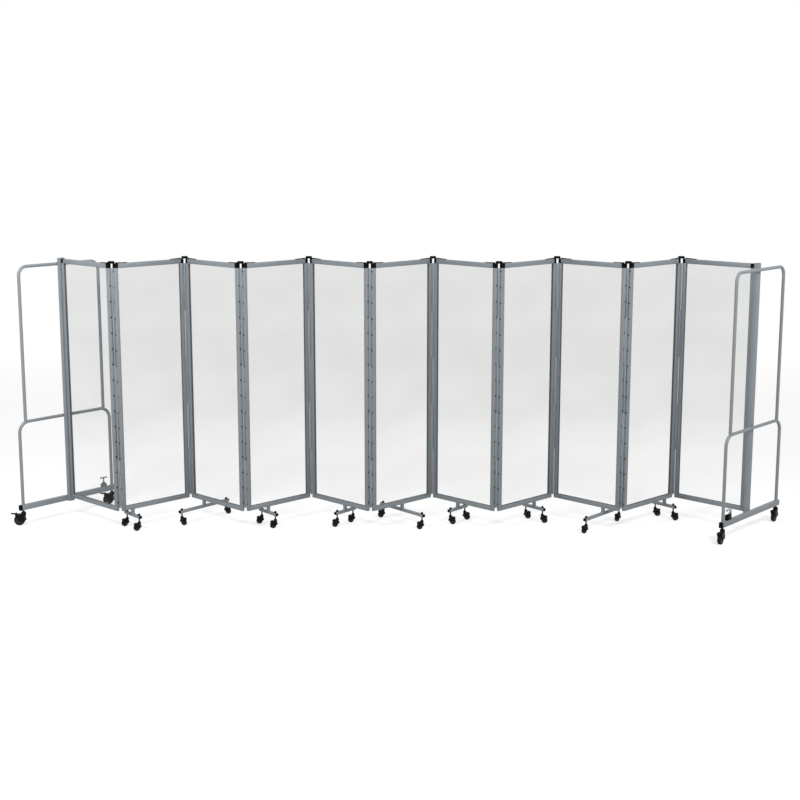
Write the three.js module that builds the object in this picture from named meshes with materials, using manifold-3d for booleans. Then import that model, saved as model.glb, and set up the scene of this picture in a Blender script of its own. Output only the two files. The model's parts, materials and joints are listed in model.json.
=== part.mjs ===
// Rolling folding partition: eleven clear sections in a zigzag, joined by full-length hinges.
// Units are millimetres and degrees, +Z is up and the wheels stand on Z = 0.
// The origin lies on the floor under the middle of the whole partition's bounds.
// In a section's own frame X runs along it, Y runs through its thickness (away from the
// viewer when it is unfolded) and Z is up from the floor.

import * as THREE from 'three';
import { mergeVertices } from 'three/addons/utils/BufferGeometryUtils.js';
import Module from 'manifold-3d';

const wasm = await Module();
wasm.setup();

// ---------------------------------------------------------------- driving dimensions

// sections
const SECTION_COUNT = 11;
const PIN_PITCH = 558.8;          // from one hinge pin to the next, along a section
const FRAME_TOP = 1827;
const FRAME_DEPTH = 19;
const STILE_WIDTH = 27;
const RAIL_HEIGHT = 30;
const SHEET_THICKNESS = 5;
const SHEET_SEAT = 8;             // how far the clear sheet sits in the frame's groove
const REST_ANGLE = 42.5;          // of each section to the partition's long axis

// full-length hinge
const PIN_RADIUS = 3;
const PIN_CLEARANCE = 0.4;
const KNUCKLE_WALL = 3.1;
const KNUCKLE_COUNT = 5;          // odd, so that one section carries both end knuckles
const KNUCKLE_GAP = 0.8;
const HINGE_END_GAP = 26;         // open slot between the stiles at the foot of the hinge
const BARREL_CLEARANCE = 0.5;     // between the barrel and the neighbour's stile
const FOLDED_GAP = 4;             // between two sections' faces when they are folded
const PIN_TAIL = 8;               // the pin shows this far below the lowest knuckle

// arched cap over each hinge
const CAP_WIDTH = 41;
const CAP_HEIGHT = 17;
const CAP_DEPTH = 20;
const CAP_CORNER = 6;
const CAP_RUNNING_GAP = 0.5;
const CAP_LEG = 7;

// feet of the nine middle sections
const FOOT_TUBE = 20;
const FOOT_POST_HEIGHT = 31;      // from the foot's tube up to the frame
const FOOT_END = 22;              // from a caster's stem to the tube's end
const SHORT_STEM_SPACING = 155;
const LONG_STEM_SPACING = 400;
const LONG_FOOT_EVERY = 3;
// Each foot stands in one of nine even lanes, counted from its section's nearer hinge, so
// that all the feet nest when the partition is folded up.
const LANE_FIRST = 91;
const LANE_STEP = 47.8;
const LANE_ORDER = [0, 7, 2, 3, 4, 5, 6, 1, 8];

// end frames
const POST_WIDTH = 30;
const POST_DEPTH = 44;
const POST_RISE = 5;              // above the section's top
const BASE_WIDTH = 25.4;
const BASE_HEIGHT = 38.1;
const BASE_LENGTH = 800;
const LOOP_RADIUS = 11;
const LOWER_LOOP_TOP = 725;
const LOWER_LOOP_BEND = 75;
const UPPER_LOOP_INSET = 50;      // from the lower loop's leg to the upper loop's leg
const UPPER_LOOP_DROP = 42;       // from the post's top to the upper loop's top bar
const UPPER_LOOP_BEND = 60;
const LOOP_LUG = { length: 24, height: 10 };            // between a loop and the post
const CATCH_OFFSET = 300;         // from the post to the catch on the base
const CATCH = { width: 24, length: 42, height: 34, hookRise: 22, hookBar: 8, hookLength: 46 };
const END_CASTER_INSET = 30;      // from the base's end to the caster's stem and the loop's leg

// casters
const SMALL_CASTER = {
  wheelRadius: 25, wheelWidth: 17, facets: 10, shoulder: 3.5, tread: 8, trail: 20,
  cheek: 3.4, hoodGap: 1.2, hoodWall: 3, tabRadius: 7.2, axleRadius: 3,
  bossRadius: 12, bossTopRadius: 9, bossRise: 6.1, stemRadius: 5, stemShown: 24,
};
const LARGE_CASTER = {
  wheelRadius: 37.5, wheelWidth: 24, facets: 16, shoulder: 5, tread: 11, trail: 30,
  cheek: 4.2, hoodGap: 1.5, hoodWall: 4, tabRadius: 9.6, axleRadius: 4,
  bossRadius: 17, bossTopRadius: 12, bossRise: 16.8, stemRadius: 6, stemShown: 10,
};
const HOOD_ARC = { from: 50, to: 186 };                 // degrees round the axle
const TAB_ARC = { from: 235, to: 380 };
const BOSS_ROOT = 0.7;            // where the boss starts, as a share of the wheel's radius
const SIDE_CLEARANCE = 0.8;       // wheel to fork, each side
const STEM_CLEARANCE = 0.4;       // stem to its socket, all round and at its end
const AXLE_CLEARANCE = 0.4;
const SOCKET_DEPTH = 14;
const PEDAL = {
  pivotAngle: 62, pivotRise: 6, pinRadius: 2.5, pinOverhang: 1, earWidth: 4, earRadius: 5,
  earRoot: 2, earSpread: 11, sideGap: 0.5, bossWall: 1.6, width: 20, lever: 36, thickness: 4,
  toe: 6, toeRise: 3.6, toeThickness: 3,
};

// sides of round pieces
const SIDES = { pin: 8, barrel: 8, tube: 8, stem: 6, boss: 8, axle: 6, room: 12 };

// ---------------------------------------------------------------- derived sizes

const radians = THREE.MathUtils.degToRad;
// The corner radius of a bore with flat sides that clears a round bar of the given radius.
const boreAround = (radius, clearance, sides) => (radius + clearance) / Math.cos(Math.PI / sides);
const BARREL_RADIUS = PIN_RADIUS + PIN_CLEARANCE + KNUCKLE_WALL;
const PIN_TO_STILE = BARREL_RADIUS + BARREL_CLEARANCE;
const PIN_OFFSET = (FRAME_DEPTH + FOLDED_GAP) / 2;      // from a section's middle plane
const FRAME_LENGTH = PIN_PITCH - 2 * PIN_TO_STILE;
const REST_SPACING = PIN_PITCH * Math.cos(radians(REST_ANGLE))
  + 2 * PIN_OFFSET * Math.sin(radians(REST_ANGLE));
const MIDDLE = (SECTION_COUNT - 1) / 2;
const FOOT_LOW = casterTop(SMALL_CASTER) + SMALL_CASTER.stemShown;
const FOOT_TOP = FOOT_LOW + FOOT_TUBE;
const FRAME_BOTTOM = FOOT_TOP + FOOT_POST_HEIGHT;
const BASE_BOTTOM = casterTop(LARGE_CASTER) + LARGE_CASTER.stemShown;
const HINGE_TOP = FRAME_TOP - RAIL_HEIGHT;
const HINGE_BOTTOM = FRAME_BOTTOM + HINGE_END_GAP;
const POST_INNER = FRAME_LENGTH / 2;
const POST_OUTER = POST_INNER + POST_WIDTH;
const POST_TOP = FRAME_TOP + POST_RISE;
const LOWER_LOOP_SPAN = BASE_LENGTH - 2 * END_CASTER_INSET;
const UPPER_LOOP_SPAN = LOWER_LOOP_SPAN - 2 * UPPER_LOOP_INSET;
const UPPER_LOOP_TOP = POST_TOP - UPPER_LOOP_DROP;
const BASE_MIDDLE = POST_OUTER + BASE_WIDTH / 2;
const SEAT = 0.5;                 // how far a welded piece reaches into what carries it
const CUT = 1;                    // how far a cut runs past the face it opens

// ---------------------------------------------------------------- finishes

const FINISH = {
  section: { color: 0x7e8589, roughness: 0.45, metalness: 0.35 },
  fork: { color: 0x151515, roughness: 0.55, metalness: 0 },
  wheel: { color: 0x1d1d1d, roughness: 0.75, metalness: 0 },
  pedal: { color: 0x101010, roughness: 0.5, metalness: 0 },
};

// ---------------------------------------------------------------- solids and meshes

function closedGeometry(geometry) {
  const plain = geometry.clone();
  plain.deleteAttribute('normal');
  plain.deleteAttribute('uv');
  return mergeVertices(plain, 1e-4);
}

function solid(geometry) {
  const closed = closedGeometry(geometry);
  const vertProperties = Float32Array.from(closed.attributes.position.array);
  const triVerts = Uint32Array.from(closed.index.array);
  return new wasm.Manifold(new wasm.Mesh({ numProp: 3, vertProperties, triVerts }));
}

const fuse = (solids) => solids.reduce((whole, piece) => whole.add(piece));

function geometryOf(body) {
  const mesh = body.getMesh();
  const geometry = new THREE.BufferGeometry();
  geometry.setAttribute('position', new THREE.BufferAttribute(mesh.vertProperties, 3));
  geometry.setIndex(new THREE.BufferAttribute(mesh.triVerts, 1));
  return geometry;
}

function namedMesh(name, geometry, finish) {
  geometry.computeVertexNormals();
  const material = new THREE.MeshStandardMaterial({ ...FINISH[finish], flatShading: true });
  const mesh = new THREE.Mesh(geometry, material);
  mesh.name = name;
  return mesh;
}

function block(width, depth, height, x, y, z) {
  return new THREE.BoxGeometry(width, depth, height).translate(x, y, z + height / 2);
}

// A round bar standing on z, from low to high.
function upright(radius, low, high, x, y, sides, topRadius = radius) {
  const bar = new THREE.CylinderGeometry(topRadius, radius, high - low, sides);
  return bar.rotateX(Math.PI / 2).translate(x, y, (low + high) / 2);
}

// A round bar along Y, centred on y = 0.
function crossbar(radius, length, x, z, sides) {
  const bar = new THREE.CylinderGeometry(radius, radius, length, sides);
  return bar.rotateY(Math.PI / sides).translate(x, 0, z);
}

// An outline drawn in X and Z, given a thickness along Y that is centred on y = 0.
function plate(shape, thickness) {
  const geometry = new THREE.ExtrudeGeometry(shape, { depth: thickness, bevelEnabled: false });
  return geometry.translate(0, 0, -thickness / 2).rotateX(Math.PI / 2);
}

function arcPoints(x, y, radius, from, to, steps) {
  return Array.from({ length: steps + 1 }, (_, i) => {
    const angle = radians(from + ((to - from) * i) / steps);
    return new THREE.Vector2(x + radius * Math.cos(angle), y + radius * Math.sin(angle));
  });
}

function ringPoints(radius, sides) {
  return arcPoints(0, 0, radius, 0, 360, sides).slice(1);
}

function rectangle(left, low, right, high) {
  const shape = new THREE.Shape();
  shape.moveTo(left, low);
  shape.lineTo(right, low);
  shape.lineTo(right, high);
  shape.lineTo(left, high);
  shape.closePath();
  return shape;
}

// ---------------------------------------------------------------- frame and clear sheet

function frameSolids() {
  const half = FRAME_LENGTH / 2;
  const outline = rectangle(-half, FRAME_BOTTOM, half, FRAME_TOP);
  const windowLeft = half - STILE_WIDTH;
  const windowLow = FRAME_BOTTOM + RAIL_HEIGHT;
  const windowHigh = FRAME_TOP - RAIL_HEIGHT;
  outline.holes.push(rectangle(-windowLeft, windowLow, windowLeft, windowHigh));
  const sheetLength = 2 * (windowLeft + SHEET_SEAT);
  const sheetHeight = windowHigh - windowLow + 2 * SHEET_SEAT;
  const sheet = block(sheetLength, SHEET_THICKNESS, sheetHeight, 0, 0, windowLow - SHEET_SEAT);
  return [solid(plate(outline, FRAME_DEPTH)), solid(sheet)];
}

// ---------------------------------------------------------------- full-length hinge

// Pins lie alternately on the far and the near face, so that the sections fold as a zigzag.
// A section with an even index turns its right end to the viewer.
function pinOf(index, end) {
  const side = (index % 2 === 0) === (end > 0) ? 1 : -1;
  return new THREE.Vector2(end * PIN_PITCH / 2, side * PIN_OFFSET);
}

// One knuckle's plan: a barrel round the pin and a leaf that reaches the section's own stile.
function knucklePlan(pin, bored) {
  const leaf = PIN_TO_STILE + SEAT;
  const leafLow = FOLDED_GAP / 2 + SEAT / 2;
  const points = [
    ...arcPoints(0, 0, BARREL_RADIUS, 90, 360, SIDES.barrel * 0.75),
    new THREE.Vector2(leaf, leafLow),
    new THREE.Vector2(leaf, BARREL_RADIUS),
  ];
  const place = (point) => new THREE.Vector2(
    pin.x - Math.sign(pin.x) * point.x,
    pin.y - Math.sign(pin.y) * point.y,
  );
  const placed = points.map(place);
  const shape = new THREE.Shape(THREE.ShapeUtils.isClockWise(placed) ? placed.reverse() : placed);
  if (bored) {
    const bore = ringPoints(boreAround(PIN_RADIUS, PIN_CLEARANCE, SIDES.pin), SIDES.pin);
    shape.holes.push(new THREE.Path(bore.map(place)));
  }
  return shape;
}

// Knuckles are numbered upwards; the even ones and the pin belong to the section on the left.
function hingeSolids(index, end) {
  const pin = pinOf(index, end);
  const holdsPin = end > 0;
  const pitch = (HINGE_TOP - HINGE_BOTTOM) / KNUCKLE_COUNT;
  const plan = knucklePlan(pin, !holdsPin);
  const solids = [];
  for (let n = holdsPin ? 0 : 1; n < KNUCKLE_COUNT; n += 2) {
    const low = HINGE_BOTTOM + n * pitch + KNUCKLE_GAP / 2;
    const knuckle = new THREE.ExtrudeGeometry(plan, {
      depth: pitch - KNUCKLE_GAP,
      bevelEnabled: false,
    });
    solids.push(solid(knuckle.translate(0, 0, low)));
  }
  if (holdsPin) {
    const low = HINGE_BOTTOM - PIN_TAIL;
    solids.push(solid(upright(PIN_RADIUS, low, HINGE_TOP, pin.x, pin.y, SIDES.pin)));
  }
  return solids;
}

// The arched cap bridges the slot above the hinge; its leg stands on the left section's stile.
function capSolids(index) {
  const pin = pinOf(index, 1);
  const turn = index % 2 === 0 ? 1 : -1;
  const low = FRAME_TOP + CAP_RUNNING_GAP;
  const high = FRAME_TOP + CAP_HEIGHT;
  const half = CAP_WIDTH / 2;
  const outline = new THREE.Shape([
    new THREE.Vector2(-half, low),
    new THREE.Vector2(half, low),
    ...arcPoints(half - CAP_CORNER, high - CAP_CORNER, CAP_CORNER, 0, 90, 2),
    ...arcPoints(CAP_CORNER - half, high - CAP_CORNER, CAP_CORNER, 90, 180, 2),
  ]);
  const inward = -Math.sign(pin.y) * CAP_DEPTH / 2;
  const cap = plate(outline, CAP_DEPTH).translate(0, inward, 0);
  cap.rotateZ(turn * radians(REST_ANGLE)).translate(pin.x, pin.y, 0);
  const legX = pin.x - PIN_TO_STILE - CAP_LEG / 2;
  const leg = block(CAP_LEG, CAP_LEG, 2 * CAP_RUNNING_GAP + SEAT, legX, 0, FRAME_TOP - SEAT);
  return [solid(cap), solid(leg)];
}

// ---------------------------------------------------------------- feet

function footOf(index) {
  const lane = LANE_FIRST + LANE_STEP * LANE_ORDER.indexOf(index - 1);
  const nearEnd = index % 2 === 0 ? 1 : -1;
  const long = (index + 1) % LONG_FOOT_EVERY === 0;
  return {
    x: nearEnd * (PIN_PITCH / 2 - lane),
    reach: (long ? LONG_STEM_SPACING : SHORT_STEM_SPACING) / 2,
    nearEnd,
  };
}

function footSolids(index) {
  const { x, reach } = footOf(index);
  const length = 2 * (reach + FOOT_END);
  const postHeight = FOOT_POST_HEIGHT + 2 * SEAT;
  const post = solid(block(FOOT_TUBE, FOOT_TUBE, postHeight, x, 0, FOOT_TOP - SEAT));
  let foot = solid(block(FOOT_TUBE, length, FOOT_TUBE, x, 0, FOOT_LOW)).add(post);
  const socket = boreAround(SMALL_CASTER.stemRadius, STEM_CLEARANCE, SIDES.stem);
  for (const y of [-reach, reach]) {
    const bore = upright(socket, FOOT_LOW - CUT, FOOT_LOW + SOCKET_DEPTH, x, y, SIDES.stem);
    foot = foot.subtract(solid(bore));
  }
  return [foot];
}

// ---------------------------------------------------------------- end frames

// A bent tube through stations, with even weight on each station whatever its spacing.
class Polyline extends THREE.Curve {
  constructor(stations) {
    super();
    this.stations = stations;
  }

  getUtoTmapping(u) {
    return u;
  }

  getPoint(t) {
    const last = this.stations.length - 1;
    const i = Math.min(Math.floor(t * last), last - 1);
    return this.stations[i].clone().lerp(this.stations[i + 1], t * last - i);
  }

  getTangent(t) {
    const last = this.stations.length - 1;
    const i = Math.round(t * last);
    const before = this.stations[Math.max(i - 1, 0)];
    const here = this.stations[i];
    const after = this.stations[Math.min(i + 1, last)];
    const into = here.clone().sub(before).normalize();
    return after.clone().sub(here).normalize().add(into).normalize();
  }
}

// An upturned U of tube in the plane x, with its two legs standing on low.
function loopSolid(x, span, low, top, bend, steps = 4) {
  const half = span / 2;
  const corner = (side) => (
    arcPoints(side * (half - bend), top - bend, bend, 90 - side * 90, 90, steps)
  );
  const outline = [
    new THREE.Vector2(half, low),
    ...corner(1),
    ...corner(-1).reverse(),
    new THREE.Vector2(-half, low),
  ];
  const stations = outline.map((point) => new THREE.Vector3(x, point.x, point.y));
  const section = new THREE.Shape(ringPoints(LOOP_RADIUS, SIDES.tube));
  const path = new Polyline(stations);
  return solid(new THREE.ExtrudeGeometry(section, {
    steps: stations.length - 1,
    extrudePath: path,
  }));
}

// The catch on the base: a block with a bent hook over it.
function catchSolids(y) {
  const top = BASE_BOTTOM + BASE_HEIGHT;
  const { width, length, height, hookRise, hookBar, hookLength } = CATCH;
  const hookLow = top + height - 2 * SEAT;
  const body = block(width, length, height, BASE_MIDDLE, y, top - SEAT);
  const stem = block(hookBar, hookBar, hookRise, BASE_MIDDLE, y, hookLow);
  const bar = block(hookBar, hookLength, hookBar, BASE_MIDDLE, y, hookLow + hookRise - SEAT);
  return [solid(body), solid(stem), solid(bar)];
}

// The end frame past the +X end of a section: post, base, two loops and a catch.
function endFrameSolids() {
  const postX = POST_INNER + POST_WIDTH / 2 - SEAT;
  const post = block(POST_WIDTH, POST_DEPTH, POST_TOP - BASE_BOTTOM, postX, 0, BASE_BOTTOM);
  const baseX = BASE_MIDDLE - SEAT;
  const base = block(BASE_WIDTH + 2 * SEAT, BASE_LENGTH, BASE_HEIGHT, baseX, 0, BASE_BOTTOM);
  const baseTop = BASE_BOTTOM + BASE_HEIGHT;
  const bendDrop = Math.sqrt(LOWER_LOOP_BEND ** 2 - (LOWER_LOOP_BEND - UPPER_LOOP_INSET) ** 2);
  const upperLow = LOWER_LOOP_TOP - LOWER_LOOP_BEND + bendDrop;
  const solids = [
    solid(post),
    solid(base),
    loopSolid(BASE_MIDDLE, LOWER_LOOP_SPAN, baseTop - SEAT, LOWER_LOOP_TOP, LOWER_LOOP_BEND),
    loopSolid(BASE_MIDDLE, UPPER_LOOP_SPAN, upperLow, UPPER_LOOP_TOP, UPPER_LOOP_BEND),
    ...catchSolids(-CATCH_OFFSET),
  ];
  for (const z of [LOWER_LOOP_TOP, UPPER_LOOP_TOP]) {
    const lugX = POST_OUTER + LOOP_RADIUS / 2;
    const { length, height } = LOOP_LUG;
    solids.push(solid(block(2 * LOOP_RADIUS, length, height, lugX, 0, z - height / 2)));
  }
  const socket = boreAround(LARGE_CASTER.stemRadius, STEM_CLEARANCE, SIDES.stem);
  let frame = fuse(solids);
  for (const y of endCasterPlaces()) {
    const low = BASE_BOTTOM - CUT;
    const high = BASE_BOTTOM + SOCKET_DEPTH;
    frame = frame.subtract(solid(upright(socket, low, high, BASE_MIDDLE, y, SIDES.stem)));
  }
  return frame;
}

function endCasterPlaces() {
  const reach = BASE_LENGTH / 2 - END_CASTER_INSET;
  return [-reach, reach];
}

// ---------------------------------------------------------------- casters

// A caster's own frame: its stem on the Z axis and its wheel trailing along +X.
function axleHeight(caster) {
  return caster.wheelRadius * Math.cos(Math.PI / caster.facets);
}

function forkWidth(caster) {
  return caster.wheelWidth + 2 * (SIDE_CLEARANCE + caster.cheek);
}

function roomRadius(caster) {
  return boreAround(caster.wheelRadius, caster.hoodGap, SIDES.room);
}

function hoodRadius(caster) {
  return roomRadius(caster) + caster.hoodWall;
}

function casterTop(caster) {
  return axleHeight(caster) + hoodRadius(caster) + caster.bossRise;
}

// Hooded fork: two cheeks and a curved guard over the wheel, a boss and a stem above.
function forkSolid(caster, stemTop) {
  const x = caster.trail;
  const z = axleHeight(caster);
  const roomWidth = caster.wheelWidth + 2 * SIDE_CLEARANCE;
  const outline = new THREE.Shape([
    ...arcPoints(x, z, hoodRadius(caster), HOOD_ARC.from, HOOD_ARC.to, 4),
    ...arcPoints(x, z, caster.tabRadius, TAB_ARC.from, TAB_ARC.to, 2),
  ]);
  const hood = solid(plate(outline, forkWidth(caster)));
  const bossLow = z + BOSS_ROOT * caster.wheelRadius;
  const top = casterTop(caster);
  const boss = solid(upright(
    caster.bossRadius, bossLow, top, 0, 0, SIDES.boss, caster.bossTopRadius,
  ));
  const wheelRoom = solid(crossbar(roomRadius(caster), roomWidth, x, z, SIDES.room));
  const axle = solid(crossbar(caster.axleRadius, roomWidth + caster.cheek, x, z, SIDES.axle));
  const stem = solid(upright(caster.stemRadius, top - SEAT, stemTop, 0, 0, SIDES.stem));
  return fuse([hood.add(boss).subtract(wheelRoom), axle, stem]);
}

function wheelGeometry(caster) {
  const bore = boreAround(caster.axleRadius, AXLE_CLEARANCE, caster.facets);
  const half = caster.wheelWidth / 2;
  const tread = caster.tread / 2;
  const rim = caster.wheelRadius;
  const profile = [
    [bore, -half],
    [rim - caster.shoulder, -half],
    [rim, -tread],
    [rim, tread],
    [rim - caster.shoulder, half],
    [bore, half],
    [bore, -half],
  ].map(([radius, y]) => new THREE.Vector2(radius, y));
  const facetDown = Math.PI / caster.facets;
  return closedGeometry(new THREE.LatheGeometry(profile, caster.facets, facetDown));
}

function pedalPivot(caster) {
  const reach = hoodRadius(caster) + PEDAL.pivotRise;
  return new THREE.Vector2(
    caster.trail + reach * Math.cos(radians(PEDAL.pivotAngle)),
    axleHeight(caster) + reach * Math.sin(radians(PEDAL.pivotAngle)),
  );
}

// Two ears on the guard and the pin that the brake pedal turns on.
function pedalEars(caster) {
  const pivot = pedalPivot(caster);
  const inner = PEDAL.width / 2 + PEDAL.sideGap;
  const rootFrom = PEDAL.pivotAngle + PEDAL.earSpread;
  const rootTo = PEDAL.pivotAngle - PEDAL.earSpread;
  const root = hoodRadius(caster) - PEDAL.earRoot;
  const ear = new THREE.Shape([
    ...arcPoints(pivot.x, pivot.y, PEDAL.earRadius, -30, 150, 4),
    ...arcPoints(caster.trail, axleHeight(caster), root, rootFrom, rootTo, 2),
  ]);
  const ears = [-1, 1].map((side) => (
    solid(plate(ear, PEDAL.earWidth).translate(0, side * (inner + PEDAL.earWidth / 2), 0))
  ));
  const pinLength = 2 * (inner + PEDAL.earWidth + PEDAL.pinOverhang);
  const pin = solid(crossbar(PEDAL.pinRadius, pinLength, pivot.x, pivot.y, SIDES.pin));
  return fuse([...ears, pin]);
}

// The pedal round its pivot at the origin: a bored boss and a lever with a turned-up toe.
function pedalGeometry() {
  const bore = boreAround(PEDAL.pinRadius, AXLE_CLEARANCE, SIDES.pin);
  const { lever, thickness, toe, toeRise, toeThickness } = PEDAL;
  const outline = new THREE.Shape([
    ...arcPoints(0, 0, bore + PEDAL.bossWall, 80, 280, 5),
    new THREE.Vector2(lever, -thickness / 2),
    new THREE.Vector2(lever + toe, toeRise),
    new THREE.Vector2(lever + toe - toeThickness, toeRise + toeThickness),
    new THREE.Vector2(lever - toeThickness, thickness / 2),
  ]);
  outline.holes.push(new THREE.Path(ringPoints(bore, SIDES.pin)));
  return closedGeometry(plate(outline, PEDAL.width));
}

// Fork and wheel of one caster as a group that stands at its stem's foot.
function casterGroup(name, caster, stemTop, withPedal) {
  const group = new THREE.Group();
  let fork = forkSolid(caster, stemTop);
  if (withPedal) {
    fork = fork.add(pedalEars(caster));
    const pedal = namedMesh(`${name}_brake_pedal`, pedalGeometry(), 'pedal');
    const pivot = pedalPivot(caster);
    pedal.position.set(pivot.x, 0, pivot.y);
    group.add(pedal);
  }
  group.add(namedMesh(`${name}_fork`, geometryOf(fork), 'fork'));
  const wheel = namedMesh(`${name}_wheel`, wheelGeometry(caster), 'wheel');
  wheel.position.set(caster.trail, 0, axleHeight(caster));
  group.add(wheel);
  return group;
}

// ---------------------------------------------------------------- whole partition

const restTurn = (index) => radians(index % 2 === 0 ? -REST_ANGLE : REST_ANGLE);

function sectionSolid(index) {
  const solids = [...frameSolids()];
  if (index > 0) {
    solids.push(...hingeSolids(index, -1));
  }
  if (index < SECTION_COUNT - 1) {
    solids.push(...hingeSolids(index, 1), ...capSolids(index));
  }
  if (index === 0) {
    solids.push(endFrameSolids().rotate([0, 0, 180]));
  } else if (index === SECTION_COUNT - 1) {
    solids.push(endFrameSolids());
  } else {
    solids.push(...footSolids(index));
  }
  return fuse(solids);
}

// The casters trail along the section towards its nearer hinge, or these along the foot.
const TRAIL_ALONG_FOOT = [4, 7, 8, 9];
const END_TRAIL = { left: 180, right: 237 };

function sectionGroup(index) {
  const number = String(index + 1).padStart(2, '0');
  const group = new THREE.Group();
  group.position.x = (index - MIDDLE) * REST_SPACING;
  group.rotation.z = restTurn(index);
  group.add(namedMesh(`section_${number}`, geometryOf(sectionSolid(index)), 'section'));
  if (index > 0 && index < SECTION_COUNT - 1) {
    const { x, reach, nearEnd } = footOf(index);
    const stemTop = FOOT_LOW + SOCKET_DEPTH - STEM_CLEARANCE;
    for (const [place, side] of [['near', -1], ['far', 1]]) {
      const caster = casterGroup(`caster_${number}_${place}`, SMALL_CASTER, stemTop, false);
      caster.position.set(x, side * reach, 0);
      const alongSection = nearEnd > 0 ? 0 : Math.PI;
      caster.rotation.z = TRAIL_ALONG_FOOT.includes(index) ? -Math.PI / 2 : alongSection;
      group.add(caster);
    }
  } else {
    const end = index === 0 ? 'left' : 'right';
    const outward = index === 0 ? -1 : 1;
    const stemTop = BASE_BOTTOM + SOCKET_DEPTH - STEM_CLEARANCE;
    endCasterPlaces().forEach((y, n) => {
      const place = n === 0 ? 'near' : 'far';
      const caster = casterGroup(`end_caster_${end}_${place}`, LARGE_CASTER, stemTop, true);
      caster.position.set(outward * BASE_MIDDLE, y, 0);
      caster.rotation.z = radians(END_TRAIL[end]) - restTurn(index);
      group.add(caster);
    });
  }
  return group;
}

const partition = new THREE.Group();
for (let index = 0; index < SECTION_COUNT; index += 1) {
  partition.add(sectionGroup(index));
}

const bounds = new THREE.Box3().setFromObject(partition, true);
const middle = bounds.getCenter(new THREE.Vector3());
partition.position.set(-middle.x, -middle.y, 0);

export default partition;
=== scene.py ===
import json
import math

import bmesh
import bpy
from mathutils import Matrix, Vector


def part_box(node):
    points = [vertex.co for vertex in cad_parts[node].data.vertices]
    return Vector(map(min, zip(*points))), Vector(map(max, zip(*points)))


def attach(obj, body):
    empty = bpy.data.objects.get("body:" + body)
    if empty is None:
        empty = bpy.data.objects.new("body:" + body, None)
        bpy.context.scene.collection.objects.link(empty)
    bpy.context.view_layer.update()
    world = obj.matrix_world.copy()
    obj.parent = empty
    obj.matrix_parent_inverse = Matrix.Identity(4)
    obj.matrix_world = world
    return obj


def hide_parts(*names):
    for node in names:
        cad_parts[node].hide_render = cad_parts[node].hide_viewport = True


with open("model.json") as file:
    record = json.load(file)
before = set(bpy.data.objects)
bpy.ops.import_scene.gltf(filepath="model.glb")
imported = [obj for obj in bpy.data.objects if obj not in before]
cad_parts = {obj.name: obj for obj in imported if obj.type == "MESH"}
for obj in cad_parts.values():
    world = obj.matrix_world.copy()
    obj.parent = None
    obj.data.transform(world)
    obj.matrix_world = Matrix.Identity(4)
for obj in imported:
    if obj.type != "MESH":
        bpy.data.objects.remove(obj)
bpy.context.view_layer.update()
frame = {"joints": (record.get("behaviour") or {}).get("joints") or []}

# Folding partition: eleven clear sections, full-length hinges, looped end frames, casters.
# Shapes are drawn in millimetres. A section's own frame has X along it, Y away from the
# viewer through its thickness, and Z up from the floor. The face inside a fold is the one
# where the pin lies.

MM = 0.001

# ---------------------------------------------------------------- sizes

SEAM = 0.2                        # gap between separate forms that lie side by side
CORE = 0.2                        # radius at which the ends of a turned solid close
BEVEL_SEGMENTS = 2
BEVEL_FROM = math.radians(35)     # edges that turn by more than this are bevelled
SHARP_FROM = math.radians(32)     # and those that turn by more than this are shaded sharp

SECTIONS = 11
PIN_PITCH = 558.8                 # from pin to pin along a section
REST_ANGLE = math.radians(42.5)   # a section's turn from the row
FRAME_TOP = 1827
FRAME_DEPTH = 19
STILE = 27
RAIL = 30
TUBE_ROUND = 1.6
SHEET = 5
SHEET_SEAT = 8                    # how deep the sheet sits in the grooves
GROOVE_CLEARANCE = 0.5
# Width and recess of the dark strips of painted shade round the window
SHADE_STRIP = {"width": 1.6, "recess": 0.6}

PIN_TO_STILE = 7
PIN_OFFSET = 11.5                 # from the section's middle plane
PIN = {"radius": 3, "below": 8, "chamfer": 0.8, "collar": 1.6, "collar_at": (2, 4.5)}
BARREL_RADIUS = 6.5
WEB_INNER = 2.6                   # from the pin's axis to the near side of a knuckle's web
KNUCKLES = 5
KNUCKLE_GAP = 0.8
HINGE_END_GAP = 26                # from the frame's underside to the lowest knuckle
LEAF = {"thickness": 1.2, "low": -8.5, "high": 4.5, "top_gap": 0.5}
SCREWS = {
    "first": {-1: 53, 1: 147},    # below the frame's top, on a left and on a right stile
    "pitch": 106, "last": 10, "across": -2, "radius": 6, "head": 2, "socket": 0.8,
}
CORNER = {
    "inner": 21.5,                # length of the black fitting on the face inside the fold
    "outer": 31,                  # and on the face outside it
    "proud": 1.5,                 # how far it stands past the stile, towards the pin
}
KNOB = {"inset": 7, "radius": 4.5, "low": -1, "high": 1.6}
CAP = {"width": 44, "height": 17, "depth": 20, "corner": 6.5, "gap": 0.5}
RAIL_STRIP = {
    "length": 84, "width": 9, "height": 7, "tip": 4, "under_cap": 4, "taper": 0.35,
    "lift": 0.05, "rings": (0, 0.12, 0.3, 0.6, 1),
}

FOOT_TUBE = 20
FOOT_ROUND = 2
FOOT_POST_HEIGHT = 31
FOOT_POST_LAP = 0.5               # how far the short post runs into the tubes it joins
FOOT_END = 22                     # from a caster's stem to the end of the tube
FOOT_BEAD = {"height": 1.6, "proud": 1.1}
PLUG = 7
NUT = {"flange": 10, "flange_height": 2.5, "dome": 8.6, "dome_low": 5.5}

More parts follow.
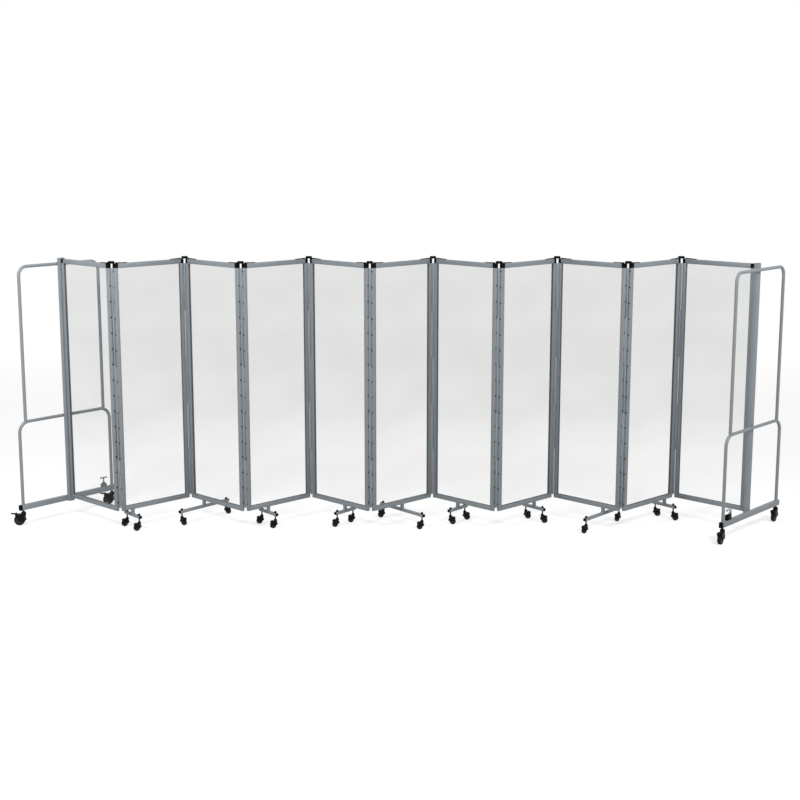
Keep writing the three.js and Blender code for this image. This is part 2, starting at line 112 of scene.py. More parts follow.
POST_WIDTH = 30
POST_DEPTH = 44
POST_RISE = 5
POST_LIFT = 1                     # from the base's underside to the post's
POST_LID = 2
POST_SCREWS = {"inset": 8, "heights": (26, 6)}
BASE_WIDTH = 25.4
BASE_HEIGHT = 38.1
BASE_LENGTH = 800
BASE_CAP = 18
BASE_WELD = {"width": 3, "proud": 1, "inset": 2}
LOOP_RADIUS = 11
LOOP_TAB = {"depth": 24, "height": 10, "lap": 1}
LOOP_BEAD = {"proud": 1.3, "height": 2.5}
LOWER_LOOP = {"span": 740, "top": 725, "bend": 75}
UPPER_LOOP = {"span": 640, "top": 1790, "bend": 60}

# Heights in these three are from the top of the base, and blocks are width, depth, height.
CATCH_OFFSET = 300                # from the middle of the base
CATCH = {"block": (24, 52, 36), "foot": (16, 56, 5)}
LATCH = {
    "block": (22, 40, 24), "guide": (14, 20, 12), "guide_low": 23,
    "stem": 5, "stem_at": (34, 64), "handle": 10, "handle_low": 62, "handle_half": 29,
}
HOOK = {
    "side": 27, "low": 30, "top": 70, "bend": 14, "reach": 40, "tip_bend": 10,
    "width": 18, "thickness": 4.8, "stud": (8, 10, 12), "stud_side": 4, "stud_low": 35,
}

SMALL = {
    "radius": 25, "width": 17, "cheek": 3.4, "gap": 1.2, "wall": 3, "tab": 7.2, "axle": 3,
    "boss": 12, "boss_top": 9, "boss_rise": 6.1, "stem": 5, "shoulder": 3.5, "hub": 0.62,
}
LARGE = {
    "radius": 37.5, "width": 24, "cheek": 4.2, "gap": 1.5, "wall": 4, "tab": 9.6, "axle": 4,
    "boss": 17, "boss_top": 12, "boss_rise": 16.8, "stem": 6, "shoulder": 5, "hub": 0.66,
}
SIDE_CLEARANCE = 0.8              # between the tyre and a cheek
HOOD_ARC = (50, 186)              # degrees round the axle
HOOD_LAP = 2                      # degrees by which the cheeks reach past the hood's ends
HOOD_HALF_SIDE = math.radians(15)   # the CAD's room for the wheel has twelve flat sides
CHEEK_LAP = 0.5                   # how far the hood runs into the cheeks
TAB_ARC = (235, 380)
BOSS_LOW = {"tyre": 0.78, "hood": 0.72}   # shares of the tyre's radius and the hood's height
HUB_STUDS = 5
PEDAL = {
    "angle": 62, "rise": 6, "pin": 2.5, "width": 20, "lever": 29, "thick": 5.6, "toe": 5,
    "ear": 4, "ear_gap": 0.5, "ear_half_angle": 11, "ridges": 4, "ridge_pitch": 5,
}

# ---------------------------------------------------------------- light and camera values

SHEET_ALPHA = (0.04, 0.158)       # how much one face of a sheet hides, low down and high up; the rise with height is painted reflection
SHEET_ALPHA_AT = (0.4, 1.3)       # the heights that go with them, in metres
# Strength of the slanting bands of painted reflection on the sheets
SHEET_REFLECTION_STREAK = 0.012
GRAIN_DEPTH = 0.0002
FLOOR = {"width": 18e3, "thickness": 19.5, "top": -0.5}
FLOOR_FADE = (3.6, 8.5)           # metres from the middle over which the floor turns white
FLOOR_GLOW = 0.62
WORLD_LIGHT = 0.37
TRANSPARENT_BOUNCES = 64          # a folded stack has 22 faces of sheet in line
LAMPS = (
    {"name": "key", "place": (-3.2, -3.2, 4.3), "target": (-2.8, 0, 1.5),
     "size": (2.2, 1.2), "power": 195},
    {"name": "fill", "place": (3.7, -3.3, 4.6), "target": (0.3, 0, 1.6),
     "size": (2.4, 1.4), "power": 195},
)
CAMERA = {
    "place": (-0.0263, -9.2, 2.669), "down": 9.974, "focal_px": 1364.4,
    "centre_px": (398.13, 374.3), "picture_px": 800, "sensor": 36, "clip_end": 100,
}

# ---------------------------------------------------------------- places, from the frame

JOINTS = {joint["name"]: joint for joint in frame["joints"]}


def joint_place(name):
    return Vector(JOINTS[name]["pos_m"]) / MM


PINS = [joint_place(f"hinge_{n:02d}") for n in range(1, SECTIONS)]
ROW_MIDDLE = (PINS[SECTIONS // 2 - 1] + PINS[SECTIONS // 2]) / 2
REST_SPACING = (PINS[-1].x - PINS[0].x) / (len(PINS) - 1)
FRAME_LENGTH = PIN_PITCH - 2 * PIN_TO_STILE
HALF = FRAME_LENGTH / 2
WINDOW = HALF - STILE
FOOT_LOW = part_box("section_05")[0].z / MM
FOOT_TOP = FOOT_LOW + FOOT_TUBE
FRAME_BOTTOM = FOOT_TOP + FOOT_POST_HEIGHT
BASE_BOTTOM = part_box("section_01")[0].z / MM
BASE_TOP = BASE_BOTTOM + BASE_HEIGHT
HINGE_TOP = FRAME_TOP - RAIL
HINGE_BOTTOM = FRAME_BOTTOM + HINGE_END_GAP
POST_OUTER = HALF + POST_WIDTH
BASE_MIDDLE = POST_OUTER + BASE_WIDTH / 2


def section_matrix(index):
    step = (index - (SECTIONS - 1) / 2) * REST_SPACING
    place = Vector((ROW_MIDDLE.x + step, ROW_MIDDLE.y, 0)) * MM
    turn = -REST_ANGLE if index % 2 == 0 else REST_ANGLE
    return Matrix.Translation(place) @ Matrix.Rotation(turn, 4, "Z")


def pin_side(index, end):
    """+1 where the pin at that end lies past the section's far face, -1 past its near face."""
    return 1 if (index % 2 == 0) == (end > 0) else -1


def has_hinge(index, end):
    """True unless that end of the section carries an end frame."""
    return 0 <= index + (end - 1) // 2 < SECTIONS - 1


# ---------------------------------------------------------------- mesh code


def arc(x, y, radius, start, stop, steps):
    angles = [math.radians(start + (stop - start) * i / steps) for i in range(steps + 1)]
    return [(x + radius * math.cos(a), y + radius * math.sin(a)) for a in angles]


def circle(x, y, radius):
    return arc(x, y, radius, 0, 345, 23)


def rounded(left, low, right, high, radius, steps=3):
    """A rectangle with round corners, anticlockwise."""
    return (
        arc(right - radius, low + radius, radius, -90, 0, steps)
        + arc(right - radius, high - radius, radius, 0, 90, steps)
        + arc(left + radius, high - radius, radius, 90, 180, steps)
        + arc(left + radius, low + radius, radius, 180, 270, steps)
    )


def stretch_on(side, one, two):
    """The ends of a stretch on one side of the middle, the lower first."""
    return sorted((side * one, side * two))


class Shape:
    """Closed solids, in millimetres, gathered into one mesh."""

    AXES = {
        "X": lambda a, b, h: (h, a, b),
        "Y": lambda a, b, h: (a, h, b),
        "Z": lambda a, b, h: (a, b, h),
    }

    def __init__(self):
        self.bm = bmesh.new()

    def skin(self, rings, closed=False):
        """Joins rings of points into a skin, with flat ends unless it closes on itself."""
        loops = [[self.bm.verts.new(p) for p in ring] for ring in rings]
        faces = []
        pairs = list(zip(loops, loops[1:]))
        if closed:
            pairs.append((loops[-1], loops[0]))
        for one, two in pairs:
            for i in range(len(one)):
                k = (i + 1) % len(one)
                faces.append(self.bm.faces.new((one[i], one[k], two[k], two[i])))
        if not closed:
            faces.append(self.bm.faces.new(loops[0][::-1]))
            faces.append(self.bm.faces.new(loops[-1]))
        bmesh.ops.recalc_face_normals(self.bm, faces=faces)
        return faces

    def soften(self, faces, width):
        edges = {e for f in faces for e in f.edges}
        sharp = [e for e in edges if e.calc_face_angle(0) > BEVEL_FROM]
        bmesh.ops.bevel(
            self.bm, geom=sharp, offset=width, segments=BEVEL_SEGMENTS, profile=0.5,
            affect="EDGES", clamp_overlap=True,
        )

    def prism(self, outline, low, high, axis="Z", soft=0, slant=None):
        """An outline drawn square to the axis and given a length.

        soft is the width of the bevel on its edges, and slant moves an end's points.
        """
        place = self.AXES[axis]
        rings = []
        for side, h in ((-1, low), (1, high)):
            moved = [slant(side, a, b) if slant else 0 for a, b in outline]
            rings.append([place(a, b, h + move) for (a, b), move in zip(outline, moved)])
        faces = self.skin(rings)
        if soft:
            self.soften(faces, soft)

    def block(self, width, depth, height, x, y, z, soft=0.6):
        """A box with its middle at x and y and its underside at z."""
        outline = [
            (x - width / 2, y - depth / 2), (x + width / 2, y - depth / 2),
            (x + width / 2, y + depth / 2), (x - width / 2, y + depth / 2),
        ]
        self.prism(outline, z, z + height, "Z", soft)

    def lathe(self, profile, sides, axis="Z", centre=(0, 0, 0), closed=False):
        """A profile of (radius, height) pairs turned round an axis through the centre."""
        place = self.AXES[axis]
        rings = []
        for radius, height in profile:
            ring = []
            for i in range(sides):
                a = 2 * math.pi * i / sides
                p = place(radius * math.cos(a), radius * math.sin(a), height)
                ring.append(Vector(p) + Vector(centre))
            rings.append(ring)
        self.skin(rings, closed)

    def sweep(self, path, section):
        """A section (across, up) carried along a path in a plane square to X."""
        rings = []
        for i, point in enumerate(path):
            before = path[max(i - 1, 0)]
            after = path[min(i + 1, len(path) - 1)]
            into = (point - before).normalized() if i else (after - point).normalized()
            out = (after - point).normalized() if after is not point else into
            along = (into + out).normalized()
            up = Vector((1, 0, 0)).cross(along).normalized()
            widen = 1 / max(along.dot(into), 0.3)
            rings.append([point + Vector((a, 0, 0)) + up * (b * widen) for a, b in section])
        self.skin(rings)

    def mesh(self, name):
        data = bpy.data.meshes.new(name)
        bmesh.ops.remove_doubles(self.bm, verts=self.bm.verts, dist=1e-5)
        self.bm.to_mesh(data)
        self.bm.free()
        data.transform(Matrix.Scale(MM, 4))
        data.shade_smooth()
        data.set_sharp_from_angle(angle=SHARP_FROM)
        return data


MESHES = {}


def piece(name, key, build, matrix, body, material, slot, *nodes):
    """Places one named piece. Pieces with the same key share their mesh."""
    if key not in MESHES:
        shape = Shape()
        build(shape)
        MESHES[key] = shape.mesh(key)
        MESHES[key].materials.append(material)
    piece_object = bpy.data.objects.new(name, MESHES[key])
    bpy.context.scene.collection.objects.link(piece_object)
    piece_object.matrix_world = matrix
    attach(piece_object, body)
    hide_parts(*nodes)


# ---------------------------------------------------------------- materials


def set_inputs(node, values):
    for key, value in values.items():
        node.inputs[key].default_value = value


class Nodes:
    """A node material with short names for what the finishes share."""

    def __init__(self, name):
        self.material = bpy.data.materials.new(name)
        self.material.use_nodes = True
        self.tree = self.material.node_tree
        self.shader = self.tree.nodes["Principled BSDF"]

    def add(self, kind, **values):
        node = self.tree.nodes.new(kind)
        for key, value in values.items():
            setattr(node, key, value)
        return node

    def link(self, source, target):
        self.tree.links.new(source, target)

    def noise(self, scale, detail, stretch=(1, 1, 1), turn=(0, 0, 0)):
        coordinates = self.add("ShaderNodeTexCoord")
        mapping = self.add("ShaderNodeMapping")
        set_inputs(mapping, {"Scale": stretch, "Rotation": turn})
        noise = self.add("ShaderNodeTexNoise")
        set_inputs(noise, {"Scale": scale, "Detail": detail})
        self.link(coordinates.outputs["Object"], mapping.inputs["Vector"])
        self.link(mapping.outputs["Vector"], noise.inputs["Vector"])
        return noise.outputs["Fac"]

    def range(self, source, low, high, to_low, to_high):
        node = self.add("ShaderNodeMapRange")
        set_inputs(node, {
            "From Min": low, "From Max": high, "To Min": to_low, "To Max": to_high,
        })
        self.link(source, node.inputs["Value"])
        return node.outputs["Result"]

    def tint(self, source, dark, light):
        ramp = self.add("ShaderNodeValToRGB")
        for stop, place, tone in zip(ramp.color_ramp.elements, (0.3, 0.7), (dark, light)):
            stop.position = place
            stop.color = (*tone, 1)
        self.link(source, ramp.inputs["Fac"])
        self.link(ramp.outputs["Color"], self.shader.inputs["Base Color"])

    def bump(self, source, strength):
        node = self.add("ShaderNodeBump")
        set_inputs(node, {"Strength": strength, "Distance": GRAIN_DEPTH})
        self.link(source, node.inputs["Height"])
        self.link(node.outputs["Normal"], self.shader.inputs["Normal"])


def grained(name, dark, light, roughness, grain, metallic=0, bump=0.1, specular=0.5,
            patches=6, stretch=(1, 1, 1)):
    """A finish with soft patches of tone, a fine grain in its relief and uneven gloss."""
    nodes = Nodes(name)
    set_inputs(nodes.shader, {"Metallic": metallic, "Specular IOR Level": specular})
    nodes.tint(nodes.noise(patches, 4, stretch), dark, light)
    gloss = nodes.range(nodes.noise(patches * 5, 2, stretch), 0.3, 0.7, *roughness)
    nodes.link(gloss, nodes.shader.inputs["Roughness"])
    nodes.bump(nodes.noise(grain, 2, stretch), bump)
    return nodes.material


def clear_sheet():
    """Clear acrylic: a faint grey body with painted reflection: it hides more high up than low
    down, and slanting bands vary it.
    """
    nodes = Nodes("clear_acrylic")
    set_inputs(nodes.shader, {
        "Base Color": (0.14, 0.143, 0.146, 1), "Roughness": 0.08, "IOR": 1.49,
    })
    coordinates = nodes.add("ShaderNodeTexCoord")
    split = nodes.add("ShaderNodeSeparateXYZ")
    nodes.link(coordinates.outputs["Object"], split.inputs["Vector"])
    # Painted reflection: the sheet hides more high up than low down
    body = nodes.range(split.outputs["Z"], *SHEET_ALPHA_AT, *SHEET_ALPHA)
    # Painted reflection: slanting bands that vary how much the sheet hides
    reflection_noise = nodes.noise(1.6, 1, (0.9, 1, 2.4), (0, math.radians(32), 0))
    reflection_band = nodes.range(reflection_noise, 0.35, 0.65, -SHEET_REFLECTION_STREAK, SHEET_REFLECTION_STREAK)
    total = nodes.add("ShaderNodeMath", operation="ADD")
    nodes.link(body, total.inputs[0])
    nodes.link(reflection_band, total.inputs[1])
    nodes.link(total.outputs[0], nodes.shader.inputs["Alpha"])
    return nodes.material


PAINT = grained(
    "grey_powder_coat", (0.226, 0.252, 0.272), (0.246, 0.272, 0.292), (0.38, 0.48), 1400,
    metallic=0.08, bump=0.12, specular=0.3,
)
BLACK = grained(
    "black_moulded_plastic", (0.0012, 0.0012, 0.0013), (0.0024, 0.0024, 0.0025),
    (0.42, 0.54), 2200, bump=0.15, patches=30, specular=0.06,
)
FORK = grained(
    "caster_nylon", (0.002, 0.002, 0.0022), (0.004, 0.004, 0.0042), (0.36, 0.48), 1800,
    bump=0.12, patches=40, specular=0.1,
)
HUB = grained(
    "caster_hub", (0.016, 0.016, 0.017), (0.028, 0.028, 0.029), (0.32, 0.44), 1800,
    bump=0.12, patches=40, specular=0.3,
)
TREAD = grained(
    "caster_tread_rubber", (0.005, 0.005, 0.005), (0.009, 0.009, 0.009), (0.55, 0.72), 1500,
    bump=0.25, patches=60, specular=0.12,
)
STEEL = grained(
    "zinc_plated_steel", (0.34, 0.345, 0.35), (0.44, 0.445, 0.45), (0.3, 0.46), 900,
    metallic=0.7, bump=0.08, patches=40, stretch=(1, 1, 0.2),
)
DARK_STEEL = grained(
    "black_oxide_steel", (0.006, 0.006, 0.0065), (0.012, 0.012, 0.0125), (0.35, 0.5), 1500,
    metallic=0.3, bump=0.1, patches=80, specular=0.12,
)
# Dark grey of the latch block, and of the strips of painted shade round each window
LATCH_GREY_AND_SHADE = grained(
    "grey_latch_and_painted_shade", (0.17, 0.18, 0.19), (0.19, 0.2, 0.21), (0.6, 0.75), 1200,
    bump=0.1, patches=20, specular=0.15,
)
CLEAR = clear_sheet()

# ---------------------------------------------------------------- sections


def groove_profile(width):
    """A frame member's outline: round corners, and a groove for the sheet in its high side."""
    side = FRAME_DEPTH / 2 - TUBE_ROUND
    half = (SHEET + GROOVE_CLEARANCE) / 2
    floor = width - SHEET_SEAT - GROOVE_CLEARANCE
    return (
        arc(-side, TUBE_ROUND, TUBE_ROUND, 180, 270, 3)
        + arc(side, TUBE_ROUND, TUBE_ROUND, 270, 360, 3)
        + arc(side, width - TUBE_ROUND, TUBE_ROUND, 0, 90, 3)
        + [(half, width), (half, floor), (-half, floor), (-half, width)]
        + arc(-side, width - TUBE_ROUND, TUBE_ROUND, 90, 180, 3)
    )


def stile(end):
    def build(shape):
        outline = [(end * (HALF - b), a) for a, b in groove_profile(STILE)]
        shape.prism(outline, FRAME_BOTTOM, HINGE_TOP, "Z", 0.4)
    return build


def bottom_rail(shape):
    outline = [(a, FRAME_BOTTOM + b) for a, b in groove_profile(RAIL)]
    shape.prism(outline, -WINDOW, WINDOW, "X", 0.4)


def corner_slant(index):
    """The top rail runs further on the face inside the fold, where the corner is narrow."""
    def slant(end, y, _z):
        inside = 0.5 + pin_side(index, end) * y / FRAME_DEPTH
        return end * (STILE - CORNER["outer"] + (CORNER["outer"] - CORNER["inner"]) * inside)
    return slant


def top_rail(index):
    def build(shape):
        outline = [(a, FRAME_TOP - b) for a, b in groove_profile(RAIL)]
        shape.prism(outline, -WINDOW, WINDOW, "X", 0.4, corner_slant(index))
    return build


def corner_fitting(index, end):
    """The black corner of the frame beside the top rail, with a low knob on top."""
    def build(shape):
        slant = corner_slant(index)
        depth = FRAME_DEPTH / 2
        near = end * (WINDOW + SEAM) + slant(end, -depth, 0)
        far = end * (WINDOW + SEAM) + slant(end, depth, 0)
        face = end * (HALF + (CORNER["proud"] if has_hinge(index, end) else 0))
        outline = [(near, -depth), (face, -depth), (face, depth), (far, depth)]
        shape.prism(outline, HINGE_TOP + SEAM, FRAME_TOP, "Z", 0.7)
        knob = circle(end * (HALF - KNOB["inset"]), 0, KNOB["radius"])
        shape.prism(knob, FRAME_TOP + KNOB["low"], FRAME_TOP + KNOB["high"], "Z", 0.6)
    return build


def sheet(shape):
    reach = WINDOW + SHEET_SEAT
    low = FRAME_BOTTOM + RAIL - SHEET_SEAT
    high = FRAME_TOP - RAIL + SHEET_SEAT
    shape.block(2 * reach, SHEET, high - low, 0, 0, low, soft=0.5)


def shade_strip(shape):
    """Dark grey strips round the window on both faces of the sheet: painted shade along the
    inner edges of the frame.
    """
    low, high = FRAME_BOTTOM + RAIL, FRAME_TOP - RAIL
    inner, outer = SHEET / 2 + SEAM, FRAME_DEPTH / 2 - SHADE_STRIP["recess"]
    width = SHADE_STRIP["width"]
    across = 2 * (WINDOW - width) - SEAM
    for side in (-1, 1):
        y = side * (inner + outer) / 2
        for end in (-1, 1):
            x = end * (WINDOW - width / 2)
            shape.block(width, outer - inner, high - low, x, y, low, soft=0.4)
        for z in (low, high - width):
            shape.block(across, outer - inner, width, 0, y, z, soft=0.4)


def hinge_leaf(index, end):
    """The flat plate on a stile's end face that the knuckles' webs rise from."""
    def build(shape):
        face = end * HALF
        proud = end * (HALF + LEAF["thickness"])
        low, high = stretch_on(pin_side(index, end), LEAF["low"], LEAF["high"])
        outline = [(face, low), (proud, low), (proud, high), (face, high)]
        shape.prism(outline, HINGE_BOTTOM, HINGE_TOP - LEAF["top_gap"], "Z", 0.3)
    return build


def leaf_screws(index, end):
    """A column of socket-headed screws down the leaf."""
    def build(shape):
        radius, head, socket = SCREWS["radius"], SCREWS["head"], SCREWS["socket"]
        profile = [
            (radius, 0), (radius * 0.9, 0.5 * head), (radius * 0.5, head),
            (socket, head), (socket, 0.4 * head), (0.1, 0.4 * head),
        ]
        profile = [(r, end * (HALF + LEAF["thickness"] + h)) for r, h in profile]
        y = pin_side(index, end) * SCREWS["across"]
        z = FRAME_TOP - SCREWS["first"][end]
        while z > HINGE_BOTTOM + SCREWS["last"]:
            shape.lathe(profile, 14, "X", (0, y, z))
            z -= SCREWS["pitch"]
    return build


def knuckles(index, end):
    """Barrels round the pin, with webs to the section's own leaf.

    Of a hinge's five knuckles, the section at its left has three.
    """
    def build(shape):
        side = pin_side(index, end)
        pin_x, pin_y = end * PIN_PITCH / 2, side * PIN_OFFSET
        pitch = (HINGE_TOP - HINGE_BOTTOM) / KNUCKLES
        barrel = arc(0, 0, BARREL_RADIUS, 90, 330, 14)
        web = [(PIN_TO_STILE, WEB_INNER), (PIN_TO_STILE, BARREL_RADIUS)]
        outline = [(pin_x - end * x, pin_y - side * y) for x, y in barrel + web]
        for n in range(0 if end > 0 else 1, KNUCKLES, 2):
            low = HINGE_BOTTOM + n * pitch + KNUCKLE_GAP / 2
            shape.prism(outline, low, low + pitch - KNUCKLE_GAP, "Z", 0.4)
    return build


def hinge_pin(index):
    """The pin, with a collar under the lowest knuckle."""
    def build(shape):
        centre = (PIN_PITCH / 2, pin_side(index, 1) * PIN_OFFSET, 0)
        low, high = HINGE_BOTTOM - PIN["below"], HINGE_TOP
        r, chamfer = PIN["radius"], PIN["chamfer"]
        profile = [
            (CORE, low), (r - chamfer, low), (r, low + chamfer),
            (r, high - chamfer), (r - chamfer, high), (CORE, high),
        ]
        shape.lathe(profile, 20, "Z", centre)
        under, over = (low + height for height in PIN["collar_at"])
        rim = r + PIN["collar"]
        collar = [(r, under), (rim, under), (rim, over), (r, over)]
        shape.lathe(collar, 20, "Z", centre, closed=True)
    return build


def arched_cap(index):
    """The arch over the slot at the top of a hinge. At rest it faces across the row."""
    def build(shape):
        low = FRAME_TOP + CAP["gap"]
        high = FRAME_TOP + CAP["height"]
        half, corner = CAP["width"] / 2, CAP["corner"]
        outline = (
            [(-half, low), (half, low)]
            + arc(half - corner, high - corner, corner, 0, 90, 6)
            + arc(corner - half, high - corner, corner, 90, 180, 6)
        )
        inward = -pin_side(index, 1) * CAP["depth"] / 2
        shape.prism(outline, inward - CAP["depth"] / 2, inward + CAP["depth"] / 2, "Y", 1.4)
    return build


def cap_matrix(index):
    return Matrix.Translation(Vector((PINS[index].x, PINS[index].y, 0)) * MM)


def tapered_rail_strip(end):
    """A thin black strip that lies on the top rail beside a hinge and tapers away from it."""
    def build(shape):
        start = HALF - CAP["width"] / 2 + RAIL_STRIP["under_cap"]
        low = FRAME_TOP + RAIL_STRIP["lift"]
        rings = []
        for t in RAIL_STRIP["rings"]:
            x = end * (start - RAIL_STRIP["length"] * t)
            high = FRAME_TOP + (RAIL_STRIP["height"] + (RAIL_STRIP["tip"] - RAIL_STRIP["height"]) * t)
            half = RAIL_STRIP["width"] * (1 - RAIL_STRIP["taper"] * t) / 2
            rings.append([(x, a, b) for a, b in rounded(-half, low, half, high, 0.5, 2)])
        shape.skin(rings)
    return build


# ---------------------------------------------------------------- feet


def foot_places(index):
    """Along-section place of a foot and its reach, from the stems under it."""
    inverse = section_matrix(index).inverted()
    stems = [
        inverse @ (joint_place(f"swivel_caster_{index + 1:02d}_{side}") * MM) / MM
        for side in ("near", "far")
    ]
    return stems[0].x, abs(stems[0].y)


def foot(x, reach):
    """A cross tube and the short post from it to the bottom rail, with a bead at each end."""
    def build(shape):
        half, wide = reach + FOOT_END - PLUG, FOOT_TUBE / 2
        cross = rounded(x - wide, FOOT_LOW, x + wide, FOOT_TOP, FOOT_ROUND)
        shape.prism(cross, -half, half, "Y", 0.3)
        post_cross = rounded(x - wide, -wide, x + wide, wide, FOOT_ROUND)
        shape.prism(post_cross, FOOT_TOP - FOOT_POST_LAP, FRAME_BOTTOM + FOOT_POST_LAP, "Z")
        grow = wide + FOOT_BEAD["proud"]
        bead = rounded(x - grow, -grow, x + grow, grow, 3)
        for z in (FOOT_TOP, FRAME_BOTTOM - FOOT_BEAD["height"]):
            shape.prism(bead, z, z + FOOT_BEAD["height"], "Z", 0.7)
    return build


def foot_plugs(x, reach):
    def build(shape):
        half, wide = reach + FOOT_END, FOOT_TUBE / 2
        cross = rounded(x - wide, FOOT_LOW, x + wide, FOOT_TOP, 3)
        for side in (-1, 1):
            shape.prism(cross, *stretch_on(side, half - PLUG, half), "Y", 1.6)
    return build


def foot_nuts(x, reach):
    """A domed nut over each stem."""
    def build(shape):
        flange, dome, low = NUT["flange"], NUT["dome"], NUT["dome_low"]
        profile = [(CORE, 0), (flange, 0), (flange, NUT["flange_height"]), (dome + 0.4, 3)]
        profile += arc(0, low, dome, 0, 84, 6)
        for y in (-reach, reach):
            shape.lathe([(r, FOOT_TOP + h) for r, h in profile], 24, "Z", (x, y, 0))
    return build


# ---------------------------------------------------------------- end frames


def loop_path(which, low):
    half, top, bend = which["span"] / 2, which["top"], which["bend"]
    right = arc(half - bend, top - bend, bend, 0, 90, 12)
    left = arc(bend - half, top - bend, bend, 90, 180, 12)
    outline = [(half, low)] + right + left + [(-half, low)]
    return [Vector((BASE_MIDDLE, y, z)) for y, z in outline]


def lower_loop(shape):
    """The loop that stands on the base, with a bead round the foot of each leg."""
    shape.sweep(loop_path(LOWER_LOOP, BASE_TOP - 1), circle(0, 0, LOOP_RADIUS))
    bead = [
        (LOOP_RADIUS, BASE_TOP), (LOOP_RADIUS + LOOP_BEAD["proud"], BASE_TOP),
        (LOOP_RADIUS, BASE_TOP + LOOP_BEAD["height"]), (LOOP_RADIUS - 1, BASE_TOP + 1),
    ]
    for side in (-1, 1):
        place = (BASE_MIDDLE, side * LOWER_LOOP["span"] / 2, 0)
        shape.lathe(bead, 24, "Z", place, closed=True)


def upper_loop(shape):
    """The loop whose legs land on the lower loop's bends."""
    bend = LOWER_LOOP["bend"]
    inset = bend - (LOWER_LOOP["span"] - UPPER_LOOP["span"]) / 2
    landing = LOWER_LOOP["top"] - bend + math.sqrt(bend ** 2 - inset ** 2)
    shape.sweep(loop_path(UPPER_LOOP, landing), circle(0, 0, LOOP_RADIUS))


def post(shape):
    """The tall post with its lid, and the tabs that tie the two loops to it."""
    cross = rounded(HALF, -POST_DEPTH / 2, POST_OUTER, POST_DEPTH / 2, 3, 4)
    top = FRAME_TOP + POST_RISE
    lid = top - POST_LID
    shape.prism(cross, BASE_BOTTOM + POST_LIFT, lid - SEAM, "Z")
    shape.prism(cross, lid, top, "Z", 0.8)
    depth, height = LOOP_TAB["depth"], LOOP_TAB["height"]
    x = POST_OUTER + LOOP_RADIUS / 2 - LOOP_TAB["lap"]
    for which in (LOWER_LOOP, UPPER_LOOP):
        shape.block(LOOP_RADIUS, depth, height, x, 0, which["top"] - height / 2, soft=1)


def base_section(radius):
    return rounded(POST_OUTER, BASE_BOTTOM, POST_OUTER + BASE_WIDTH, BASE_TOP, radius, 4)


def base(shape):
    """The rectangular tube, with weld beads where it passes the post."""
    half = BASE_LENGTH / 2 - BASE_CAP
    shape.prism(base_section(3), -half, half, "Y", 0.3)
    width, inset = BASE_WELD["width"], BASE_WELD["inset"]
    x = POST_OUTER + BASE_WELD["proud"] - width / 2
    for side in (-1, 1):
        y = side * POST_DEPTH / 2
        shape.block(width, width, BASE_HEIGHT - 2 * inset, x, y, BASE_BOTTOM + inset)


def base_cap(side):
    def build(shape):
        half = BASE_LENGTH / 2
        shape.prism(base_section(3.5), *stretch_on(side, half - BASE_CAP, half), "Y", 1.8)
    return build


def on_base(shape, size, side, low, soft):
    """A block near the catch's middle, by its offset from there and from the base's top."""
    shape.block(*size, BASE_MIDDLE, -CATCH_OFFSET + side, BASE_TOP + low, soft=soft)


def catch_block(shape):
    """The black block on the right base that the strap bends over."""
    on_base(shape, CATCH["block"], 0, 0, 2.5)
    on_base(shape, CATCH["foot"], 0, 0, 1)


def catch_hook(shape):
    """A strap up the side of the catch, over its top and down at its end, and a short stud."""
    y, bend, tip = HOOK["side"] - CATCH_OFFSET, HOOK["bend"], HOOK["tip_bend"]
    top = BASE_TOP + HOOK["top"]
    path = [(y, BASE_TOP + HOOK["low"])]
    path += arc(y - bend, top - bend, bend, 0, 90, 8)
    path += arc(y - HOOK["reach"], top - tip, tip, 90, 180, 6)
    wide, thick = HOOK["width"] / 2, HOOK["thickness"] / 2
    strap = rounded(-wide, -thick, wide, thick, 1.5, 3)
    shape.sweep([Vector((BASE_MIDDLE, a, b)) for a, b in path], strap)
    on_base(shape, HOOK["stud"], HOOK["stud_side"], HOOK["stud_low"], 1)


def latch_body(shape):
    """The block on the left base that the latch slides in."""
    on_base(shape, LATCH["block"], 0, 0, 2)
    on_base(shape, LATCH["guide"], 0, LATCH["guide_low"], 1.5)


def latch_handle(shape):
    """The latch's stem and its cross handle."""
    low, high = (BASE_TOP + height for height in LATCH["stem_at"])
    stem = [(CORE, low), (LATCH["stem"], low), (LATCH["stem"], high), (CORE, high)]
    shape.lathe(stem, 20, "Z", (BASE_MIDDLE, -CATCH_OFFSET, 0))
    size, low = LATCH["handle"], BASE_TOP + LATCH["handle_low"]
    bar = rounded(BASE_MIDDLE - size / 2, low, BASE_MIDDLE + size / 2, low + size, 3.5, 4)
    half = LATCH["handle_half"]
    shape.prism(bar, -CATCH_OFFSET - half, -CATCH_OFFSET + half, "Y", 1.5)


def post_screws(shape):
    """Small screws through one face of the stile beside the post."""
    profile = [(3, 0), (2.7, -0.8), (1.2, -1.4), (CORE, -1.4)]
    profile = [(r, -FRAME_DEPTH / 2 + h) for r, h in profile]
    for height in POST_SCREWS["heights"]:
        place = (HALF - POST_SCREWS["inset"], 0, FRAME_BOTTOM + height)
        shape.lathe(profile, 14, "Y", place)


# ---------------------------------------------------------------- casters


def caster_numbers(stem):
    """Trail and axle height of a caster, and the matrix that puts it in its place."""
    pivot = joint_place(f"swivel_{stem}")
    axle = joint_place(f"spin_{stem}")
    reach = Vector((axle.x - pivot.x, axle.y - pivot.y))
    turn = Matrix.Rotation(math.atan2(reach.y, reach.x), 4, "Z")
    place = Matrix.Translation(Vector((pivot.x, pivot.y, 0)) * MM)
    return reach.length, axle.z, place @ turn


def hood_radius(spec):
    return (spec["radius"] + spec["gap"]) / math.cos(HOOD_HALF_SIDE) + spec["wall"]


